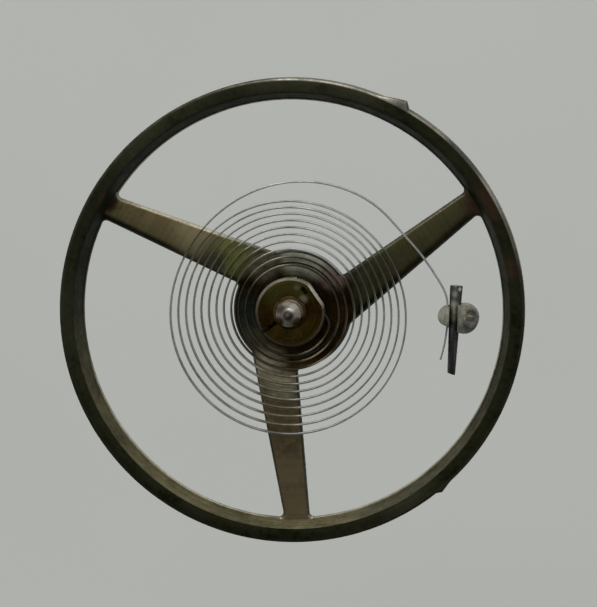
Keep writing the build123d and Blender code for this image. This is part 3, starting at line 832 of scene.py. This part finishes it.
# Collet: a split ring, with a flat over the hole for the spring's inner end
collet = {
    "bore": 0.364, "radius": 0.75, "low": 1.48, "high": 2.03, "edge": 0.06, "turn": 35.0, "flatDepth": 0.05,
    "slot": 0.09, "middle": 1.88, "holeLine": 0.54, "hole": 0.0984, "steps": 144, "over": 0.1,
    "steepFace": 0.15, "pin": 0.05, "pinSmall": 0.042, "pinLine": 0.502, "pinProud": 0.07, "pinEdge": 0.01,
    "ribbonLine": 0.581,
    "nickWide": 0.08, "nickLong": 0.17, "nickLow": -0.055, "nickPlace": (*onCircle(57, 0.565), 2.05),
    "nickTurn": 38,
    "tones": {
        "top": ((0.018, 0.008, 0.001), (0.06, 0.034, 0.009)),
        "olive": ((0.03, 0.026, 0.005), (0.09, 0.078, 0.02)),
        "yellow": ((0.03, 0.02, 0.003), (0.1, 0.066, 0.014)),
        "edge": ((0.022, 0.018, 0.01), (0.06, 0.052, 0.03)),
        "edgeLit": ((0.068, 0.062, 0.04), (0.145, 0.132, 0.094)),
        "flatEdgeHighlight": ((0.19, 0.185, 0.15), (0.355, 0.34, 0.29)),
        # painted shade for the nick's floor
        "nick": ((0.006, 0.004, 0.001), (0.016, 0.01, 0.003)),
        "smear": ((0.12, 0.11, 0.085), (0.32, 0.3, 0.235)),
        "smearFaint": ((0.06, 0.054, 0.034), (0.18, 0.165, 0.11)),
        "pin": ((0.3, 0.24, 0.12), (0.6, 0.5, 0.28)),
    },
    "colletTop": {
        "tone": "top", "scale": 2400.0, "contrast": 1.4, "rough": (0.25, 0.45),
        "zones": [(100, 0.2, 0.8, "olive"), (280, 0.2, 0.8, "yellow")],
        "spots": [((0.28, 0.29), 0.03, 0.13, "smear"), ((0.15, 0.55), 0.02, 0.1, "smearFaint")],
    },
    "colletEdge": {
        "tone": "edge", "scale": 3200.0, "rough": (0.5, 0.65), "metallic": 0.1, "specular": 0.15,
        # The bevel is painted lighter on its side towards the lamp, and a painted highlight runs along the
        # flat's edge
        "zones": [(90, 0.0, 0.8, "edgeLit")], "spots": [(onCircle(35, 0.7), 0.12, 0.36, "flatEdgeHighlight")],
    },
    "colletNickShade": {"tone": "nick", "scale": 3200.0, "rough": (0.5, 0.7), "specular": 0.2},
    "pinBrass": {"tone": "pin", "scale": 4000.0, "rough": (0.2, 0.35), "stretch": (9000.0, 9000.0, 30000.0)},
}


def makeCollet(c):
    body = ring(bmesh.new(), [(c["bore"], c["low"]), (c["radius"], c["low"]), (c["radius"], c["high"]),
                              (c["bore"], c["high"])], steps=c["steps"])
    soften(body, c["edge"], segments=3, sharpest=50,
           pick=lambda e: all(fromStaff(v) > c["radius"] - onFace for v in e.verts))
    over, far, flatLine = c["over"], 2 * c["radius"], c["radius"] - c["flatDepth"]
    flat = block((flatLine, -far, c["low"] - over), (far, far, c["high"] + over), c["turn"])
    slot = block((-far, -c["slot"] / 2, c["low"] - over), (0, c["slot"] / 2, c["high"] + over), c["turn"])
    hole = rod(c["hole"], c["hole"], 2 * far, (c["holeLine"], far, c["middle"]), c["turn"])
    nickSize = Vector((c["nickWide"], c["nickLong"], 0)) / 2
    nick = seated(block((*-nickSize.xy, c["nickLow"]), (*nickSize.xy, over)),
                  Matrix.Translation(c["nickPlace"]) @ turned(c["nickTurn"]))
    chamfers = [
        seated(block((0, -far, -far), (far, far, far)),
               turned(c["turn"]) @ Matrix.Translation((flatLine - c["edge"], 0, level)) @ turned(lean, "Y"))
        for level, lean in ((c["high"], -45), (c["low"], 45))
    ]
    body = combine(body, [flat, slot, hole, nick, *chamfers])
    names, nickFloor = ["colletTop", "colletEdge", "colletNickShade"], c["nickPlace"][2] + c["nickLow"]
    for face in body.faces:
        finish = "colletEdge" if c["steepFace"] < abs(face.normal.z) < levelFace else "colletTop"
        # The nick's floor gets painted shade
        if all(abs(v.co.z - nickFloor) < seam for v in face.verts):
            finish = "colletNickShade"
        face.material_index = names.index(finish)
    place(body, "colletRing", "collet", metals(c, *names))
    half = sqrt(c["radius"] ** 2 - c["ribbonLine"] ** 2) + c["pinProud"]
    pin = rod(c["pin"], c["pinSmall"], 2 * half, (c["pinLine"], half, c["middle"]), c["turn"])
    soften(pin, c["pinEdge"], sharpest=60)
    place(pin, "colletPin", "collet_pin", metals(c, "pinBrass"))


makeCollet(collet)

# Hairspring, from its outer tail in the stud to its inner end in the collet
spring = {
    "thick": 0.038, "high": 0.15, "middle": 1.88, "edge": 0.007, "turns": 10, "inner": 0.93, "outer": 2.535,
    "terminal": 3.364, "lineAngle": 75.0, "sag": 0.2545, "lift": 0.1635, "tailAngle": 17.2, "leadAngle": 4.0,
    "bends": [(11.0, 0.894, 121.0), (28.0, 0.575, 131.0), (60.0, 0.45, 153.5)], "quarterAngle": 165.0,
    "elbow": 0.3, "innerTail": 0.07, "stepAngle": 3, "straightBelow": 0.5, "flatSide": 0.5,
    "tones": {
        "plain": ((0.19, 0.19, 0.18), (0.48, 0.48, 0.46)), "springSheen": ((0.34, 0.35, 0.325), (0.74, 0.76, 0.71)),
        "outer": ((0.28, 0.28, 0.27), (0.62, 0.62, 0.6)), "inner": ((0.02, 0.016, 0.01), (0.09, 0.075, 0.05)),
        "warm": ((0.16, 0.145, 0.09), (0.4, 0.37, 0.25)), "brown": ((0.1, 0.09, 0.06), (0.26, 0.24, 0.17)),
        "shade": ((0.034, 0.034, 0.024), (0.1, 0.1, 0.07)),
        "olive": ((0.07, 0.068, 0.042), (0.165, 0.16, 0.105)),
    },
    "common": {
        "tone": "plain", "scale": 1400.0, "contrast": 1.3, "rough": (0.36, 0.52), "linesDark": 0.2,
        "lineCount": 60000.0, "outward": [(2.62, 2.75, "outer")],
    },
    "springAlloy": {
        # Coils towards the upper right and over the right arm's upper side get painted sheen, coils over the
        # right arm get painted shade
        "zones": [(62, 0.85, 0.96, "springSheen")],
        "strips": [(22, 124.7, -0.95, -0.7, "shade"), (52, 124.7, -0.06, 0.16, "springSheen"),
                   (150, 64.7, 0.0, 0.1, "olive"), (128, 64.7, 0.76, 0.86, "plain")],
        "spots": [((-0.28, -2.2), 0.35, 0.5, "brown"), ((-0.35, -1.6), 0.35, 0.5, "brown"),
                  ((0, 0), 1.2, 1.35, "inner"), ((-0.45, 0.95), 0.2, 0.6, "warm"),
                  ((0.55, -0.85), 0.1, 0.45, "warm")],
    },
    "springSides": {"spots": [((0, 0), 1.2, 1.35, "inner")]},
}


def crossing(s, halfTurns):
    # Where the ribbon crosses the line of its turns, counted inwards
    radius = s["outer"] - halfTurns * (s["outer"] - s["inner"]) / s["turns"] / 2
    share = (radius - s["inner"]) / (s["outer"] - s["inner"])
    sag = share * (s["sag"] * share - s["lift"])
    if halfTurns % 2:
        return onCircle(s["lineAngle"], radius - sag)
    return onCircle(s["lineAngle"] + 180, radius + sag)


def easeBetween(start, startHeading, end, endHeading):
    # The point where two arcs meet that lead smoothly from one heading to the other
    chord = Vector(end) - Vector(start)
    a, b = Vector(onCircle(startHeading, 1)), Vector(onCircle(endHeading, 1))
    across, bend = chord.dot(a + b), 2 * (1 - a.dot(b))
    reach = (sqrt(across ** 2 + bend * chord.length_squared) - across) / bend
    return midway(moved(start, startHeading, reach), moved(end, endHeading, -reach))


def springStops(s, c):
    gap = s["terminal"] - s["outer"]
    last, heading = onCircle(s["leadAngle"], s["terminal"]), s["leadAngle"] + 90
    stops = [onCircle(-s["tailAngle"], s["terminal"]), onCircle(0, s["terminal"]), last]
    for angle, share, newHeading in s["bends"]:
        here = onCircle(angle, s["outer"] + share * gap)
        stops += [easeBetween(last, heading, here, newHeading), here]
        last, heading = here, newHeading
    centre = midway(crossing(s, -1), crossing(s, 0))
    quarter = moved(centre, s["quarterAngle"], dist(centre, crossing(s, 0)))
    stops += [easeBetween(last, heading, quarter, s["quarterAngle"] + 90), quarter]
    final = 2 * s["turns"]
    stops += [crossing(s, k) for k in range(final + 1)]
    # The innermost arc runs on to a tight elbow, and the ribbon goes straight into the collet
    centre = midway(crossing(s, final), crossing(s, final + 1))
    radius = dist(centre, crossing(s, final))
    offset = Vector(centre).dot(Vector(onCircle(c["turn"], 1)))
    swing = degrees(acos((c["ribbonLine"] - s["elbow"] - offset) / (radius - s["elbow"])))
    elbowEnd = moved(moved(centre, c["turn"] - swing, radius - s["elbow"]), c["turn"], s["elbow"])
    inside = sqrt(c["radius"] ** 2 - c["ribbonLine"] ** 2) + s["innerTail"]
    run = inside - Vector(elbowEnd).dot(Vector(onCircle(c["turn"] + 90, 1)))
    stops += [moved(centre, c["turn"] - swing, radius), elbowEnd, moved(elbowEnd, c["turn"] + 90, run)]
    return stops, inside * 2 - s["innerTail"]


def makeHairspring(s, c):
    stops, held = springStops(s, c)
    heading, bm = 90 - s["tailAngle"], bmesh.new()
    wound = bm.verts.layers.float.new("wound")
    across = (Matrix.Translation((*stops[0], s["middle"])) @ turned(heading + 90)
              @ Matrix.Rotation(pi / 2, 4, "X") @ Matrix.Diagonal((s["thick"], s["high"], 1, 1)))
    bmesh.ops.create_grid(bm, x_segments=1, y_segments=1, size=0.5, matrix=across)
    bmesh.ops.bevel(bm, geom=bm.verts[:], offset=s["edge"], offset_type="OFFSET", segments=2, profile=0.5,
                    affect="VERTICES", material=-1)
    geom, travelled = bm.faces[:] + bm.edges[:] + bm.verts[:], 0.0
    for start, end in zip(stops, stops[1:]):
        turn = 2 * ((headingOf(start, end) - heading + 180) % 360 - 180)
        length, steps, straight = dist(start, end), 1, abs(turn) <= s["straightBelow"]
        if not straight:
            radius = length / 2 / sin(radians(turn / 2))
            length = radius * radians(turn)
            steps = ceil(abs(turn) / s["stepAngle"])
        for _ in range(steps):
            if straight:
                geom = trace(bm, geom, between(start, end), None)
            else:
                geom = trace(bm, geom, moved(start, heading + 90, radius), turn / steps, 2 * s["stepAngle"])
            travelled += length / steps
            for vert in geom:
                if isinstance(vert, bmesh.types.BMVert):
                    vert[wound] = travelled
        heading += turn
    bmesh.ops.recalc_face_normals(bm, faces=bm.faces)
    # The ribbon's narrow edges are tinted by place, with painted sheen and painted shade among the tints, its
    # flat sides are plain
    for face in bm.faces:
        face.material_index = int(abs(face.normal.z) < s["flatSide"])
    ribbon = place(bm, "hairspring", "hairspring", metals(s, "springAlloy", "springSides"),
                   body=None, sharpest=40)
    # The ribbon winds with the wheel: its share of the turn grows along its length from stud to collet
    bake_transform(ribbon, "stud_side", "balance", start=(s["terminal"] * mm, 0, 0), end=(0, 0, 0))
    outerEnd = radians(s["tailAngle"] + s["leadAngle"]) * s["terminal"]
    innerEnd = travelled - held
    reached, shares = ribbon.data.attributes["wound"].data, ribbon.data.attributes["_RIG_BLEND"].data
    for point, share in zip(reached, shares):
        share.value = min(1.0, max(0.0, (point.value - outerEnd) / (innerEnd - outerEnd)))
    ribbon.data.attributes.remove(ribbon.data.attributes["wound"])
    print("hairspring length", round(travelled, 2), "mm")


makeHairspring(spring, collet)

# Stud with its post, and the taper pin that wedges the ribbon in it
stud = {
    "turn": -1.6, "lobe": (3.72, 0.0), "lobeRadius": 0.31, "nose": (3.3607, 0.05), "noseRadius": 0.2,
    "low": 1.61, "high": 2.15, "middle": 1.88, "edge": 0.06, "lowEdge": 0.02, "hole": 0.1836,
    "holePlace": 3.494, "slot": 0.18, "post": 0.15, "postPlace": 3.865, "postHigh": 2.7, "postEdge": 0.03,
    "postSteps": 64, "bodyStep": 5.0, "reach": 0.5, "over": 0.1,
    "pinStart": (3.5305, 0.69), "pinLarge": 0.1375, "pinSmall": 0.084, "pinLength": 1.93, "pinEdge": 0.012,
    "filedPlace": (3.53, 0.95, 1.93), "filedTilt": -14.0, "cutPlace": (3.46, -1.308, 1.88), "cutTilt": -18.0,
    "tones": {
        "brass": ((0.15, 0.145, 0.12), (0.36, 0.345, 0.29)), "nose": ((0.26, 0.25, 0.2), (0.52, 0.5, 0.42)),
        "tan": ((0.2, 0.19, 0.125), (0.5, 0.48, 0.34)), "shade": ((0.05, 0.048, 0.04), (0.13, 0.125, 0.105)),
        "grey": ((0.06, 0.06, 0.058), (0.2, 0.2, 0.19)),
        "steel": ((0.045, 0.045, 0.042), (0.16, 0.16, 0.155)),
        "pinGlint": ((0.16, 0.16, 0.155), (0.36, 0.345, 0.29)),
        "paintedHighlight": ((0.62, 0.6, 0.53), (0.62, 0.6, 0.53)),
        "pinSlotLight": ((0.17, 0.165, 0.12), (0.62, 0.6, 0.46)),
    },
    "studBrass": {
        "tone": "brass", "scale": 2600.0, "contrast": 1.6, "rough": (0.4, 0.6), "linesDark": 0.3,
        "stretch": (16000.0, 5000.0, 12000.0), "bump": 0.6, "depth": 8e-6,
        "spots": [((3.3, -0.04), 0.08, 0.26, "nose"), ((3.74, 0.1), 0.03, 0.16, "tan"),
                  ((3.875, 0.0), 0.08, 0.14, "shade"), ((3.8, -0.26), 0.03, 0.2, "grey")],
    },
    "pinSteel": {
        "tone": "steel", "scale": 2200.0, "contrast": 1.3, "rough": (0.25, 0.42), "linesDark": 0.5,
        "stretch": (22000.0, 700.0, 22000.0), "bump": 0.6, "depth": 5e-6,
        # painted glints on the pin's upper part
        "spots": [((3.52, 0.42), 0.02, 0.1, "pinGlint"), ((3.625, 0.52), 0.015, 0.06, "paintedHighlight"),
                  # painted light where the stud's slot shades the pin, in a khaki tone
                  ((3.47, 0.06), 0.12, 0.27, "pinSlotLight")],
    },
}


def makeStud(s):
    heading, apart = headingOf(s["lobe"], s["nose"]), dist(s["lobe"], s["nose"])
    spread = degrees(acos((s["lobeRadius"] - s["noseRadius"]) / apart))
    lobeStart = moved(s["lobe"], heading + spread, s["lobeRadius"])
    lobeEnd = moved(s["lobe"], heading - spread, s["lobeRadius"])
    noseStart = moved(s["nose"], heading - spread, s["noseRadius"])
    noseEnd = moved(s["nose"], heading + spread, s["noseRadius"])
    body = outline(bmesh.new(), lobeStart, [
        (s["lobe"], 360 - 2 * spread), (between(lobeEnd, noseStart), None), (s["nose"], 2 * spread),
        (between(noseEnd, lobeStart), None)], s["bodyStep"])
    slab(body, s["low"], s["high"])
    soften(body, s["edge"], segments=4, sharpest=60,
           pick=lambda e: min(v.co.z for v in e.verts) > s["middle"])
    soften(body, s["lowEdge"], sharpest=60, pick=lambda e: max(v.co.z for v in e.verts) < s["low"] + seam)
    post = column(s["post"], s["middle"], s["postHigh"], (s["postPlace"], 0), steps=s["postSteps"])
    soften(post, s["postEdge"], segments=3, sharpest=60)
    body = combine(body, [post], "UNION")
    reach, left, right = s["reach"], s["holePlace"] - s["slot"] / 2, s["holePlace"] + s["slot"] / 2
    hole = rod(s["hole"], s["hole"], 2 * reach, (s["holePlace"], reach, s["middle"]), 0)
    slot = block((left, -reach, s["middle"]), (right, reach, s["high"] + s["over"]))
    body = combine(body, [hole, slot])
    bmesh.ops.rotate(body, cent=(0, 0, 0), matrix=turned(s["turn"]).to_3x3(), verts=body.verts)
    place(body, "studBlock", "stud", metals(s, "studBrass"), body="stud_side")
    pin = rod(s["pinLarge"], s["pinSmall"], s["pinLength"], (*s["pinStart"], s["middle"]), s["turn"])
    filed = seated(block((-reach, -reach, 0), (reach, reach, reach)),
                   Matrix.Translation(s["filedPlace"]) @ turned(s["filedTilt"], "X"))
    cutEnd = seated(block((-reach, -2 * reach, -reach), (reach, 0, reach)),
                    Matrix.Translation(s["cutPlace"]) @ turned(s["cutTilt"]))
    pin = combine(pin, [filed, cutEnd])
    soften(pin, s["pinEdge"], sharpest=30)
    place(pin, "studPin", "stud_pin", metals(s, "pinSteel"), body="stud_side")


makeStud(stud)
